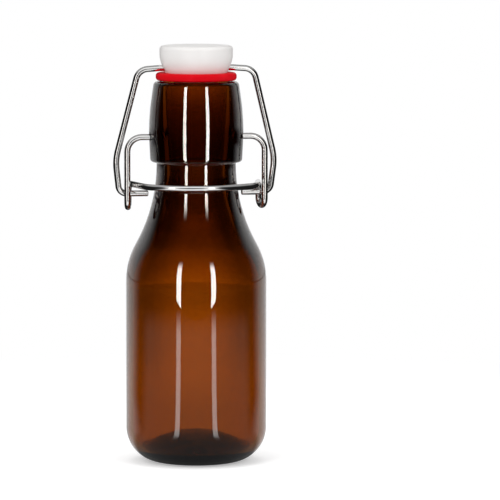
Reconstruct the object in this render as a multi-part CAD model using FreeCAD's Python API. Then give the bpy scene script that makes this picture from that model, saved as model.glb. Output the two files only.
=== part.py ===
import FreeCAD, Part
import math
import os

# Swing top bottle: an amber glass bottle closed by a stopper on two bent wires.
# Millimetres. The origin is the centre of the base and +Z runs up the bottle's axis.
# The lever's bow lies on the front of the neck, at -Y. Both wires swing about lines along X.

# Glass, outside
BODY_DIAMETER = 48.0
BODY_STRAIGHT_TOP = 62.0
HEEL_ROUNDING = 11.8
STANDING_RING_WIDTH = 1.2
STANDING_RING_ROUNDING = 0.8
PUSH_UP_HEIGHT = 2.0
PUSH_UP_FLAT_RADIUS = 5.5
PUSH_UP_ROUNDING = 12.0
SHOULDER_LENGTH = 40.3
SHOULDER_ROUNDING = 26.0
NECK_DIAMETER = 27.0
COLLAR_HEIGHT = 27.5
COLLAR_ROOT_ROUNDING = 0.5
COLLAR_FOOT_DIAMETER = 31.3
COLLAR_FOOT_ROUNDING = 1.0
COLLAR_PEAK_DIAMETER = 32.8
COLLAR_PEAK_BELOW_MOUTH = 13.1
COLLAR_PEAK_ROUND_REACH = 7.8
MOUTH_DIAMETER = 28.9
MOUTH_ROUNDING = 1.5

# Glass, inside
BORE_DIAMETER = 18.5
BORE_TAPER_ROUNDING = 40.0
BORE_MOUTH_DIAMETER = 22.6
BORE_EDGE_ROUNDING = 0.6
WALL = 2.3
INNER_SHOULDER_DROP = 2.1
INNER_SHOULDER_ROUNDING = 24.0
INNER_NECK_DROP = 5.0
INNER_HEEL_ROUNDING = 9.0
BASE_THICKNESS = 4.3
FLOOR_CROWN_RADIUS = 7.0
FLOOR_CROWN_HEIGHT = 1.2
FLOOR_CROWN_ROUNDING = 30.0

# Wire and its fits
WIRE_DIAMETER = 2.1
WIRE_END_CHAMFER = 0.25
PIN_CLEARANCE = 0.1
CROSS_HOLE_CLEARANCE = 0.08

# Dimples in the collar that hold the lever's pins
PIVOT_BELOW_MOUTH = 18.9
DIMPLE_DEPTH = 3.5
DIMPLE_HOLLOW_RADIUS = 3.0
DIMPLE_HOLLOW_DEPTH = 0.7
PIN_END_GAP = 0.3

# Lever: legs, eyes and bow
LEG_REACH = 23.8
LEG_TOP_BEND = 5.0
EYE_BEND = 2.6
EYE_STRAND_GAP = 0.25
EYE_BACK_GAP = 0.15
EYE_TOP_GAP = 1.2
EYE_BOTTOM_GAP = 2.5
BOW_NECK_GAP = 3.4
BOW_LIP_GAP = 0.35
BOW_TILT = 0.5
BOW_HALF_ANGLE = 36.0
BOW_FRONT_BEND = 27.0
BOW_CORNER_BEND = 8.5

# Bail: feet in the lever's eyes, legs and shoulders
BAIL_FOOT_INNER_REACH = 16.2
BAIL_FOOT_BEND = 2.9
BAIL_PASSING_GAP = 0.25
BAIL_ELBOW_OUTSET = 1.4
BAIL_ELBOW_HEIGHT = 11.6
BAIL_ELBOW_BEND = 18.0
BAIL_SHOULDER_REACH = 19.9
BAIL_SHOULDER_SAG = 0.5
BAIL_SHOULDER_BEND = 4.2
BAIL_NECK_GAP = 0.3
BAIL_NECK_BEND = 4.0

# Gasket and stopper
GASKET_DIAMETER = 27.6
GASKET_THICKNESS = 2.7
GASKET_EDGE_ROUNDING = 1.1
GASKET_LIFT = 0.25
GASKET_FIT = 0.05
STEM_DIAMETER = 13.2
FLANGE_DIAMETER = 15.4
FLANGE_THICKNESS = 2.2
FLANGE_ROUNDING = 0.6
HEAD_FOOT_DIAMETER = 21.2
HEAD_DIAMETER = 25.0
HEAD_BULGE_HEIGHT = 4.6
HEAD_BULGE_ROUNDING = 9.0
HEAD_HEIGHT = 9.2
HEAD_EDGE_ROUNDING = 1.3
CROSS_HOLE_FLOOR = 0.45

# Values that follow from the sizes above
NECK_TOP = BODY_STRAIGHT_TOP + SHOULDER_LENGTH
COLLAR_BOTTOM = NECK_TOP + COLLAR_ROOT_ROUNDING
MOUTH_HEIGHT = COLLAR_BOTTOM + COLLAR_HEIGHT
PIVOT_HEIGHT = MOUTH_HEIGHT - PIVOT_BELOW_MOUTH
WIRE_RADIUS = WIRE_DIAMETER / 2
CROSS_HOLE_RADIUS = WIRE_RADIUS + CROSS_HOLE_CLEARANCE
GASKET_BOTTOM = MOUTH_HEIGHT + GASKET_LIFT
HEAD_BOTTOM = GASKET_BOTTOM + GASKET_THICKNESS
HEAD_TOP = HEAD_BOTTOM + HEAD_HEIGHT
CROSS_HOLE_HEIGHT = HEAD_BOTTOM + CROSS_HOLE_FLOOR + CROSS_HOLE_RADIUS
EYE_TURN = math.asin((WIRE_DIAMETER + EYE_STRAND_GAP) / (2 * EYE_BEND)) / 2
BOW_SLOPE = math.tan(math.radians(BOW_TILT))
STRAND_DIP = math.atan(BOW_SLOPE * math.cos(EYE_TURN))
EYE_TOP_DEPTH = EYE_BEND * math.cos(EYE_TURN) * (1 - math.sin(STRAND_DIP))
SHORTEST_EDGE = 1e-4
FAR = 100.0

Vector = FreeCAD.Vector
X_AXIS = Vector(1, 0, 0)
Z_AXIS = Vector(0, 0, 1)


def rounded_edges(corners):
    """Edges through (point, rounding) corners: straight runs with an arc at every rounded corner."""
    edges = []
    last = corners[0][0]
    for (before, _), (corner, rounding), (after, _) in zip(corners, corners[1:], corners[2:]):
        start = end = corner
        if rounding > 0:
            back = (before - corner).normalize()
            ahead = (after - corner).normalize()
            half_angle = back.getAngle(ahead) / 2
            reach = rounding / math.tan(half_angle)
            start = corner + back * reach
            end = corner + ahead * reach
            inward = (back + ahead).normalize()
            middle = corner + inward * (rounding / math.sin(half_angle) - rounding)
        if (start - last).Length > SHORTEST_EDGE:
            edges.append(Part.makeLine(last, start))
        if rounding > 0:
            edges.append(Part.Arc(start, middle, end).toShape())
        last = end
    edges.append(Part.makeLine(last, corners[-1][0]))
    return edges


def turned(outline):
    """Solid of revolution about Z from (radius, height, rounding) corners that start and end on the axis.

    Its seam is at the back, clear of the holes along X.
    """
    corners = [(Vector(0, radius, height), rounding) for radius, height, rounding in outline]
    edges = rounded_edges(corners)
    edges.append(Part.makeLine(corners[-1][0], corners[0][0]))
    return Part.Face(Part.Wire(edges)).revolve(Vector(), Z_AXIS, 360)


def mirrored(half, middle=()):
    """A symmetric wire's corners: the +X half from its end, any corner in the middle, then the mirror image."""
    other_half = [(Vector(-point.x, point.y, point.z), rounding) for point, rounding in half]
    return [*half, *middle, *reversed(other_half)]


def bent_wire(corners):
    """Round wire bent through (point, rounding) corners, with both of its ends chamfered."""
    path = Part.Wire(rounded_edges(corners))
    first = corners[0][0]
    heading = corners[1][0] - first
    section = Part.Wire(Part.makeCircle(WIRE_RADIUS, first, heading))
    wire = path.makePipeShell([section], True, False)
    ends = (first, corners[-1][0])
    rims = [edge for edge in wire.Edges if any(is_rim(edge, end) for end in ends)]
    return wire.makeChamfer(WIRE_END_CHAMFER, rims)


def is_rim(edge, end):
    """Whether an edge is the circle round a wire's end."""
    return edge.isClosed() and edge.BoundBox.Center.distanceToPoint(end) < WIRE_END_CHAMFER


def glass_radius(height):
    """Outside radius of the glass at a height on the neck or the collar."""
    level = Part.makePlane(FAR, FAR, Vector(0, -FAR / 2, height))
    return level.common(bottle_blank).BoundBox.XMax


def double_curve(low_radius, low_height, high_radius, high_height, low_rounding):
    """Two corners whose arcs meet, from a straight wall below to a narrower straight wall above."""
    half_turn = math.atan((low_radius - high_radius) / (high_height - low_height))
    high_rounding = (high_height - low_height) / math.sin(2 * half_turn) - low_rounding
    reach = math.tan(half_turn)
    return [
        (low_radius, low_height + low_rounding * reach, low_rounding),
        (high_radius, high_height - high_rounding * reach, high_rounding),
    ]


def collar_peak():
    """The collar's widest corner, rounded over a set reach along both of its slopes."""
    peak_height = MOUTH_HEIGHT - COLLAR_PEAK_BELOW_MOUTH
    lower_slope = math.atan2(COLLAR_PEAK_DIAMETER - COLLAR_FOOT_DIAMETER, 2 * (peak_height - COLLAR_BOTTOM))
    upper_slope = math.atan2(COLLAR_PEAK_DIAMETER - MOUTH_DIAMETER, 2 * COLLAR_PEAK_BELOW_MOUTH)
    rounding = COLLAR_PEAK_ROUND_REACH / abs(math.tan((lower_slope + upper_slope) / 2))
    return COLLAR_PEAK_DIAMETER / 2, peak_height, rounding


def make_bottle_blank():
    """The blown bottle before its dimples: one turned outline, up the outside and down the inside."""
    body = BODY_DIAMETER / 2
    neck = NECK_DIAMETER / 2
    ring_inner = body - HEEL_ROUNDING - STANDING_RING_WIDTH
    bore = BORE_DIAMETER / 2
    inside = body - WALL
    floor = PUSH_UP_HEIGHT + BASE_THICKNESS
    inner_straight_top = BODY_STRAIGHT_TOP - INNER_SHOULDER_DROP
    inner_neck_top = NECK_TOP - INNER_NECK_DROP
    inner_shoulder = double_curve(inside, inner_straight_top, bore, inner_neck_top, INNER_SHOULDER_ROUNDING)
    return turned([
        (0, PUSH_UP_HEIGHT, 0),
        (PUSH_UP_FLAT_RADIUS, PUSH_UP_HEIGHT, PUSH_UP_ROUNDING),
        (ring_inner, 0, STANDING_RING_ROUNDING),
        (body, 0, HEEL_ROUNDING),
        *double_curve(body, BODY_STRAIGHT_TOP, neck, NECK_TOP, SHOULDER_ROUNDING),
        (neck, COLLAR_BOTTOM, COLLAR_ROOT_ROUNDING),
        (COLLAR_FOOT_DIAMETER / 2, COLLAR_BOTTOM, COLLAR_FOOT_ROUNDING),
        collar_peak(),
        (MOUTH_DIAMETER / 2, MOUTH_HEIGHT, MOUTH_ROUNDING),
        (BORE_MOUTH_DIAMETER / 2, MOUTH_HEIGHT, BORE_EDGE_ROUNDING),
        (bore, COLLAR_BOTTOM, BORE_TAPER_ROUNDING),
        *reversed(inner_shoulder),
        (inside, floor - FLOOR_CROWN_HEIGHT, INNER_HEEL_ROUNDING),
        (FLOOR_CROWN_RADIUS, floor, FLOOR_CROWN_ROUNDING),
        (0, floor, 0),
    ])


def make_bottle():
    """Glass bottle with a dimple on each side of the collar for the lever's pins: a hole in a ball-shaped hollow."""
    hole_start = Vector(DIMPLE_BOTTOM, 0, PIVOT_HEIGHT)
    hole = Part.makeCylinder(WIRE_RADIUS + PIN_CLEARANCE, 2 * DIMPLE_DEPTH, hole_start, X_AXIS)
    hollow_middle = Vector(COLLAR_AT_PIVOT - DIMPLE_HOLLOW_DEPTH + DIMPLE_HOLLOW_RADIUS, 0, PIVOT_HEIGHT)
    hollow = Part.makeSphere(DIMPLE_HOLLOW_RADIUS, hollow_middle)
    bottle = bottle_blank
    for tool in (hole, hollow):
        bottle = bottle.cut(tool).cut(tool.mirror(Vector(), X_AXIS))
    return bottle


def bow_drop_and_depth():
    """How far the bow's front lies below the pivots and in front of the axis.

    The bow stands off the neck far enough that its swing about the pivots just clears the lip.
    """
    lip_depth = MOUTH_DIAMETER / 2 - MOUTH_ROUNDING
    lip_rise = MOUTH_HEIGHT - MOUTH_ROUNDING - PIVOT_HEIGHT
    swing = math.hypot(lip_depth, lip_rise) + MOUTH_ROUNDING + BOW_LIP_GAP + WIRE_RADIUS
    drop = lip_rise
    for _ in range(6):
        depth = glass_radius(PIVOT_HEIGHT - drop) + BOW_NECK_GAP + WIRE_RADIUS
        drop = math.sqrt(swing ** 2 - depth ** 2)
    return drop, depth


def lever_corners():
    """Corners of the lever wire from the +X pin's end to the bow's front, then mirrored."""
    side = math.sin(EYE_TURN)
    ahead = math.cos(EYE_TURN)
    level = math.cos(STRAND_DIP)

    # Where the strand leaves the top of the eye, and the bow's tilted plane through that point
    eye_top_x = LEG_REACH - EYE_BEND * side * (3 + math.sin(STRAND_DIP))
    eye_top_z = PIVOT_HEIGHT - BOW_DROP + (EYE_TOP_DEPTH + BOW_DEPTH) * BOW_SLOPE
    origin = Vector(0, EYE_TOP_DEPTH, eye_top_z)
    forward = Vector(0, -1, -BOW_SLOPE).normalize()
    front = (EYE_TOP_DEPTH + BOW_DEPTH) / -forward.y

    # The bow's front is one wide bend, whose straight sides would meet at its vertex
    half_angle = math.radians(BOW_HALF_ANGLE)
    vertex = front + BOW_FRONT_BEND * (1 / math.cos(half_angle) - 1)
    strand_slope = math.tan(math.acos(side * level))
    corner_x = (eye_top_x * strand_slope - vertex) / (strand_slope - math.tan(half_angle))
    corner = vertex - corner_x * math.tan(half_angle)

    strand = Vector(-side * level, -ahead * level, -math.sin(STRAND_DIP))
    turn_reach = EYE_BEND * math.tan((math.pi / 2 + STRAND_DIP) / 2)
    eye_back_top = Vector(eye_top_x, EYE_TOP_DEPTH, eye_top_z) - strand * turn_reach
    eye_bottom = BAIL_FOOT_HEIGHT - EYE_BOTTOM_GAP - WIRE_DIAMETER
    half = [
        (Vector(DIMPLE_BOTTOM + PIN_END_GAP, 0, PIVOT_HEIGHT), 0),
        (Vector(LEG_REACH, 0, PIVOT_HEIGHT), LEG_TOP_BEND),
        (Vector(LEG_REACH, 0, eye_bottom), EYE_BEND),
        (Vector(LEG_REACH - 2 * EYE_BEND * side, 2 * EYE_BEND * ahead, eye_bottom), EYE_BEND),
        (eye_back_top, EYE_BEND),
        (origin + X_AXIS * corner_x + forward * corner, BOW_CORNER_BEND),
    ]
    return mirrored(half, [(origin + forward * vertex, BOW_FRONT_BEND)])


def bail_foot_place():
    """Depth and height of the line through the bail's feet: inside the eyes, just behind the legs."""
    eye_top = PIVOT_HEIGHT - BOW_DROP + (EYE_TOP_DEPTH + BOW_DEPTH) * BOW_SLOPE
    apex = eye_top + EYE_BEND * (1 - math.cos(STRAND_DIP))
    depth = 2 * EYE_BEND * math.cos(EYE_TURN) - WIRE_DIAMETER - EYE_BACK_GAP
    return depth, apex - WIRE_DIAMETER - EYE_TOP_GAP


def bail_corners():
    """Corners of the bail wire: a flat frame in the plane of the feet and the stopper's cross hole."""
    foot = Vector(0, BAIL_FOOT_DEPTH, BAIL_FOOT_HEIGHT)
    hole = Vector(0, 0, CROSS_HOLE_HEIGHT)
    length = (hole - foot).Length
    upward = (hole - foot).normalize()
    foot_reach = LEG_REACH + WIRE_DIAMETER + BAIL_PASSING_GAP
    neck_reach = HEAD_DIAMETER / 2 + BAIL_NECK_GAP
    half = [
        (BAIL_FOOT_INNER_REACH, 0, 0),
        (foot_reach, 0, BAIL_FOOT_BEND),
        (foot_reach + BAIL_ELBOW_OUTSET, BAIL_ELBOW_HEIGHT, BAIL_ELBOW_BEND),
        (BAIL_SHOULDER_REACH, length - BAIL_SHOULDER_SAG, BAIL_SHOULDER_BEND),
        (neck_reach, length, BAIL_NECK_BEND),
    ]
    return mirrored([(foot + X_AXIS * reach + upward * rise, bend) for reach, rise, bend in half])


def make_stopper():
    """Stopper: a bowl-sided head with a cross hole, a stem and the flange that keeps the gasket on."""
    stem = STEM_DIAMETER / 2
    flange = FLANGE_DIAMETER / 2
    flange_bottom = GASKET_BOTTOM - FLANGE_THICKNESS
    head = HEAD_DIAMETER / 2
    blank = turned([
        (0, flange_bottom, 0),
        (flange, flange_bottom, FLANGE_ROUNDING),
        (flange, GASKET_BOTTOM, FLANGE_ROUNDING),
        (stem, GASKET_BOTTOM, 0),
        (stem, HEAD_BOTTOM, 0),
        (HEAD_FOOT_DIAMETER / 2, HEAD_BOTTOM, 0),
        (head, HEAD_BOTTOM + HEAD_BULGE_HEIGHT, HEAD_BULGE_ROUNDING),
        (head, HEAD_TOP, HEAD_EDGE_ROUNDING),
        (0, HEAD_TOP, 0),
    ])
    hole = Part.makeCylinder(CROSS_HOLE_RADIUS, FAR, Vector(-FAR / 2, 0, CROSS_HOLE_HEIGHT), X_AXIS)
    return blank.cut(hole)


def make_gasket():
    """Rubber ring round the stem, between the stopper's head and the mouth."""
    outer = GASKET_DIAMETER / 2
    ring = turned([
        (0, GASKET_BOTTOM, 0),
        (outer, GASKET_BOTTOM, GASKET_EDGE_ROUNDING),
        (outer, HEAD_BOTTOM, GASKET_EDGE_ROUNDING),
        (0, HEAD_BOTTOM, 0),
    ])
    return ring.cut(Part.makeCylinder(STEM_DIAMETER / 2 + GASKET_FIT, FAR, Vector(0, 0, GASKET_BOTTOM - FAR / 2)))


bottle_blank = make_bottle_blank()
COLLAR_AT_PIVOT = glass_radius(PIVOT_HEIGHT)
DIMPLE_BOTTOM = COLLAR_AT_PIVOT - DIMPLE_DEPTH
BOW_DROP, BOW_DEPTH = bow_drop_and_depth()
BAIL_FOOT_DEPTH, BAIL_FOOT_HEIGHT = bail_foot_place()

parts = {
    "bottle": make_bottle(),
    "lever_wire": bent_wire(lever_corners()),
    "bail_wire": bent_wire(bail_corners()),
    "stopper": make_stopper(),
    "gasket": make_gasket(),
}

os.makedirs("parts", exist_ok=True)
for name, shape in parts.items():
    shape.exportStep(f"parts/{name}.step")
    print(f"{name}: {shape.ShapeType}, valid {shape.isValid()}, {shape.Volume:.1f} mm3")
print(f"pivots at height {PIVOT_HEIGHT:.3f}")
print(f"bail feet at depth {BAIL_FOOT_DEPTH:.3f}, height {BAIL_FOOT_HEIGHT:.3f}")
print(f"cross hole at height {CROSS_HOLE_HEIGHT:.3f}, top at height {HEAD_TOP:.3f}")
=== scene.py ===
"""Swing top bottle: an amber glass bottle whose stopper hangs on two bent wires.

The object's sizes are in millimetres and become metres when a mesh is made. The finishes and the studio are
in metres, and angles are in degrees.
"""
import logging
import math
from abc import ABC, abstractmethod
from collections.abc import Sequence
from dataclasses import dataclass
from enum import Enum
from typing import ClassVar

import bmesh
import bpy
from bmesh.types import BMesh
from bpy.types import ID, Material, Node, NodeSocket, NodeTree, Object
from mathutils import Matrix, Vector


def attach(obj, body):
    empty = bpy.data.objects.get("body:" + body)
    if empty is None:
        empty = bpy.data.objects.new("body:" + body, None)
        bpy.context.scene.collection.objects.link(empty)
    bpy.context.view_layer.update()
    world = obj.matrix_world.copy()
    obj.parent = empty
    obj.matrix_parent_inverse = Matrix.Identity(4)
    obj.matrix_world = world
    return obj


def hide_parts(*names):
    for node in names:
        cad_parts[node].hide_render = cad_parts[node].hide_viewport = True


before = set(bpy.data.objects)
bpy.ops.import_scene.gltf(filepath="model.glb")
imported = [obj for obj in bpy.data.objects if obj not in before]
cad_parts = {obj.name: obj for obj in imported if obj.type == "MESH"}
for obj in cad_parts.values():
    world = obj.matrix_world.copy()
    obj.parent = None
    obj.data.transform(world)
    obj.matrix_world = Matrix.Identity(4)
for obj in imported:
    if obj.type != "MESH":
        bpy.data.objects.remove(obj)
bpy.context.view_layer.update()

MM = 0.001
TINY = 1e-5
CREASE = 32.0
LEAST_ARC_STEPS = 3
log = logging.getLogger("swing_top_bottle")

Colour = tuple[float, float, float]
Corner = tuple[float, float, float]
Span = tuple[float, float]
Bend = tuple[Vector, float]


class Slot(Enum):
    """Material slots of the record."""

    GLASS = "amber_glass"
    WIRE = "steel_wire"
    PLASTIC = "white_plastic"
    RUBBER = "red_rubber"


class Body(Enum):
    """Bodies that move as one."""

    BOTTLE = "bottle"
    LEVER = "lever"
    BAIL = "bail"
    STOPPER = "stopper"


class Value:
    """A number socket whose arithmetic adds Math nodes."""

    def __init__(self, bench: "Bench", socket: NodeSocket) -> None:
        """Wrap one socket of a bench's tree."""
        self.bench = bench
        self.socket = socket

    def _math(self, operation: str, *terms: "Value | float", clamp: bool = False) -> "Value":
        """Add a Math node and wrap its result."""
        settings = {"operation": operation, "use_clamp": clamp}
        return self.bench.value("ShaderNodeMath", settings, dict(enumerate(terms)))

    def __add__(self, other: "Value | float") -> "Value":
        """Sum of two values."""
        return self._math("ADD", self, other)

    __radd__ = __add__

    def __sub__(self, other: "Value | float") -> "Value":
        """This value less another."""
        return self._math("SUBTRACT", self, other)

    def __rsub__(self, other: float) -> "Value":
        """A number less this value."""
        return self._math("SUBTRACT", other, self)

    def __mul__(self, other: "Value | float") -> "Value":
        """Product of two values."""
        return self._math("MULTIPLY", self, other)

    __rmul__ = __mul__

    def __truediv__(self, other: "Value | float") -> "Value":
        """This value over another."""
        return self._math("DIVIDE", self, other)

    def clamped(self) -> "Value":
        """This value kept between 0 and 1."""
        return self._math("ADD", self, 0.0, clamp=True)

    def size(self) -> "Value":
        """This value without its sign."""
        return self._math("ABSOLUTE", self)

    def highest(self, other: "Value | float") -> "Value":
        """The larger of two values."""
        return self._math("MAXIMUM", self, other)

    def spread(self, low: float, high: float) -> "Value":
        """A number that goes from low to high as this value goes from 0 to 1."""
        return low + (high - low) * self

    def between(self, low: float, high: float) -> "Value":
        """Smooth step from 0 at low to 1 at high."""
        sockets = {"Value": self, "From Min": low, "From Max": high}
        return self.bench.value("ShaderNodeMapRange", {"interpolation_type": "SMOOTHSTEP"}, sockets)


@dataclass
class Bench:
    """A node tree under construction."""

    tree: NodeTree

    def node(self, kind: str, settings: dict | None = None, sockets: dict | None = None) -> Node:
        """Add a node.

        Args:
            kind: the node's type.
            settings: its properties, set before its sockets.
            sockets: values or links of its inputs, by name or index.

        Returns:
            The new node.
        """
        node = self.tree.nodes.new(kind)
        for name, setting in (settings or {}).items():
            setattr(node, name, setting)
        for key, given in (sockets or {}).items():
            source = given.socket if isinstance(given, Value) else given
            if isinstance(source, NodeSocket):
                self.tree.links.new(source, node.inputs[key])
            else:
                node.inputs[key].default_value = source
        return node

    def value(self, kind: str, settings: dict | None = None, sockets: dict | None = None,
              output: int | str = 0) -> Value:
        """Add a node and wrap one of its outputs."""
        return Value(self, self.node(kind, settings, sockets).outputs[output])

    def vector(self, operation: str, *terms: NodeSocket | Colour) -> NodeSocket:
        """Add a Vector Math node whose result is a vector."""
        return self.node("ShaderNodeVectorMath", {"operation": operation}, dict(enumerate(terms))).outputs[0]

    def along(self, where: NodeSocket, axis: Vector) -> Value:
        """How far a place or a direction reaches along an axis."""
        sockets = {0: where, 1: axis}
        return self.value("ShaderNodeVectorMath", {"operation": "DOT_PRODUCT"}, sockets, output="Value")

    def part(self, where: NodeSocket, axis: str) -> Value:
        """The X, Y or Z of a vector."""
        return self.value("ShaderNodeSeparateXYZ", {}, {0: where}, output=axis)

    def rays(self, *kinds: str) -> list[Value]:
        """For each kind of ray, 1 for a ray of that kind and 0 for others."""
        paths = self.node("ShaderNodeLightPath").outputs
        return [Value(self, paths[f"Is {kind} Ray"]) for kind in kinds]

    def mixed(self, factor: Value, low: Colour, high: Colour) -> NodeSocket:
        """Blend from the first colour to the second as the factor goes from 0 to 1."""
        # A Mix node has its colours at sockets 6 and 7 and the blended colour at output 2
        sockets = {0: factor, 6: (*low, 1.0), 7: (*high, 1.0)}
        return self.node("ShaderNodeMix", {"data_type": "RGBA"}, sockets).outputs[2]

    def scaled(self, level: Value, colour: Colour = (1.0, 1.0, 1.0)) -> NodeSocket:
        """A colour at a level that may pass 1."""
        sockets = {0: colour, "Scale": level}
        return self.node("ShaderNodeVectorMath", {"operation": "SCALE"}, sockets).outputs[0]

    def place(self) -> NodeSocket:
        """Object coordinates, in metres."""
        return self.node("ShaderNodeTexCoord").outputs["Object"]

    def bump(self, height: Value, depth: float, strength: float) -> NodeSocket:
        """Surface normal from a height, where 1 stands for the depth, at a strength."""
        sockets = {"Strength": strength, "Distance": depth, "Height": height}
        return self.node("ShaderNodeBump", {}, sockets).outputs["Normal"]

    def blend(self, factor: Value, first: Node, second: Node) -> Node:
        """Mix two shaders by a factor."""
        return self.node("ShaderNodeMixShader", {}, {0: factor, 1: first.outputs[0], 2: second.outputs[0]})

    def show(self, **shaders: Node) -> None:
        """Send shaders to the material's output, by the names of its inputs."""
        sockets = {name: shader.outputs[0] for name, shader in shaders.items()}
        self.node("ShaderNodeOutputMaterial", {}, sockets)


def new_material(name: str) -> tuple[Material, Bench]:
    """Start a material with an empty tree.

    Args:
        name: the material's name.

    Returns:
        The material and the bench for its nodes.
    """
    material = bpy.data.materials.new(name)
    material.use_nodes = True
    material.node_tree.nodes.clear()
    return material, Bench(material.node_tree)


@dataclass(frozen=True)
class Grain:
    """Noise of one scale, sharpened to a span where one is given."""

    scale: float
    detail: float
    span: Span | None = None

    def lay(self, bench: Bench, where: NodeSocket) -> Value:
        """Lay the noise on coordinates.

        Args:
            bench: the tree's bench.
            where: the coordinates.

        Returns:
            A value about 0.5, or from 0 to 1 over the span.
        """
        sockets = {"Vector": where, "Scale": self.scale, "Detail": self.detail}
        noise = bench.value("ShaderNodeTexNoise", {}, sockets)
        return noise.between(*self.span) if self.span else noise


class Finish(ABC):
    """A finish for one of the record's slots."""

    slot: ClassVar[Slot]

    @abstractmethod
    def surface(self, bench: Bench) -> dict:
        """Inputs of the surface's shader, by name."""

    def shaders(self, bench: Bench) -> dict[str, Node]:
        """Shaders for the material's output, by its inputs' names."""
        return {"Surface": bench.node("ShaderNodeBsdfPrincipled", {}, self.surface(bench))}

    def material(self) -> Material:
        """Build the finish.

        Returns:
            The material, named after its slot.
        """
        material, bench = new_material(self.slot.value)
        bench.show(**self.shaders(bench))
        return material


@dataclass(frozen=True)
class AmberGlass(Finish):
    """Brown bottle glass: clear, tinted at its skin and in its depth, with faint waves from the mould."""

    slot: ClassVar[Slot] = Slot.GLASS
    skin: Colour = (0.80, 0.445, 0.10)
    smeared: Colour = (0.77, 0.435, 0.11)
    depth_tint: Colour = (0.658, 0.485, 0.167)
    density: float = 600.0
    index: float = 1.52
    smear: Grain = Grain(140.0, 4.0, (0.5, 0.8))
    wave: Grain = Grain(55.0, 1.0)
    wave_stretch: Colour = (1.0, 1.0, 0.45)
    wave_depth: float = 0.0004
    wave_strength: float = 0.03

    def surface(self, bench: Bench) -> dict:
        """Clear glass with waves and faint smears.

        Args:
            bench: the material's bench.

        Returns:
            The shader's inputs.
        """
        place = bench.place()
        wave = self.wave.lay(bench, bench.vector("MULTIPLY", place, self.wave_stretch))
        return {
            "Base Color": bench.mixed(self.smear.lay(bench, place), self.skin, self.smeared),
            "Roughness": 0.0,
            "IOR": self.index,
            "Transmission Weight": 1.0,
            "Normal": bench.bump(wave, self.wave_depth, self.wave_strength),
        }

    def shaders(self, bench: Bench) -> dict[str, Node]:
        """The clear surface over an absorbing depth."""
        tint = {"Color": (*self.depth_tint, 1.0), "Density": self.density}
        return super().shaders(bench) | {"Volume": bench.node("ShaderNodeVolumeAbsorption", {}, tint)}


@dataclass(frozen=True)
class DrawnSteel(Finish):
    """Bright drawn wire: fine streaks along its length, with duller patches."""

    slot: ClassVar[Slot] = Slot.WIRE
    bright: Colour = (0.86, 0.855, 0.845)
    dull: Colour = (0.76, 0.755, 0.745)
    streak: Grain = Grain(1.0, 5.0)
    streak_scale: Colour = (7.0, 7.0, 14.0)
    streak_span: Span = (0.35, 0.75)
    streak_depth: float = 0.00001
    streak_strength: float = 0.08
    patch: Grain = Grain(230.0, 3.0, (0.5, 0.75))
    patch_share: float = 0.4
    roughness: Span = (0.085, 0.13)

    def surface(self, bench: Bench) -> dict:
        """Metal with streaks on the attributes that follow the wire.

        Args:
            bench: the material's bench.

        Returns:
            The shader's inputs.
        """
        section = bench.node("ShaderNodeAttribute", {"attribute_name": "wire_section"}).outputs["Vector"]
        length = bench.value("ShaderNodeAttribute", {"attribute_name": "wire_along"}, output="Fac")
        where = bench.node("ShaderNodeCombineXYZ", {}, {
            "X": bench.part(section, "X"), "Y": bench.part(section, "Y"), "Z": length}).outputs[0]
        streak = self.streak.lay(bench, bench.vector("MULTIPLY", where, self.streak_scale))
        patch = self.patch.lay(bench, bench.place()) * self.patch_share
        worn = (streak.between(*self.streak_span) * (1 - self.patch_share) + patch).clamped()
        return {
            "Base Color": bench.mixed(worn, self.bright, self.dull),
            "Metallic": 1.0,
            "Roughness": worn.spread(*self.roughness),
            "Normal": bench.bump(streak, self.streak_depth, self.streak_strength),
        }


@dataclass(frozen=True)
class MouldedWhite(Finish):
    """White moulded stopper: glossy, faintly clouded by handling, with a fine skin."""

    slot: ClassVar[Slot] = Slot.PLASTIC
    fresh: Colour = (0.885, 0.865, 0.85)
    clouded: Colour = (0.86, 0.84, 0.822)
    cloud: Grain = Grain(160.0, 4.0, (0.4, 0.75))
    skin: Grain = Grain(2600.0, 2.0)
    skin_depth: float = 0.00001
    skin_strength: float = 0.02
    roughness: Span = (0.30, 0.36)
    index: float = 1.5

    def surface(self, bench: Bench) -> dict:
        """Plastic with clouds and a fine skin.

        Args:
            bench: the material's bench.

        Returns:
            The shader's inputs.
        """
        place = bench.place()
        cloud = self.cloud.lay(bench, place)
        return {
            "Base Color": bench.mixed(cloud, self.fresh, self.clouded),
            "Roughness": cloud.spread(*self.roughness),
            "IOR": self.index,
            "Normal": bench.bump(self.skin.lay(bench, place), self.skin_depth, self.skin_strength),
        }


@dataclass(frozen=True)
class SealRubber(Finish):
    """Red rubber ring: satin skin, fine grain and slightly paler worn patches."""

    slot: ClassVar[Slot] = Slot.RUBBER
    deep: Colour = (0.67, 0.0015, 0.008)
    worn: Colour = (0.70, 0.006, 0.014)
    patch: Grain = Grain(210.0, 3.0, (0.45, 0.75))
    grain: Grain = Grain(3400.0, 3.0)
    grain_depth: float = 0.00004
    grain_strength: float = 0.25
    roughness: Span = (0.40, 0.56)
    index: float = 1.5
    specular: float = 0.06

    def surface(self, bench: Bench) -> dict:
        """Rubber with worn patches and a fine grain.

        Args:
            bench: the material's bench.

        Returns:
            The shader's inputs.
        """
        place = bench.place()
        grain = self.grain.lay(bench, place)
        return {
            "Base Color": bench.mixed(self.patch.lay(bench, place), self.deep, self.worn),
            "Roughness": grain.spread(*self.roughness),
            "IOR": self.index,
            "Specular IOR Level": self.specular,
            "Normal": bench.bump(grain, self.grain_depth, self.grain_strength),
        }


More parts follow.
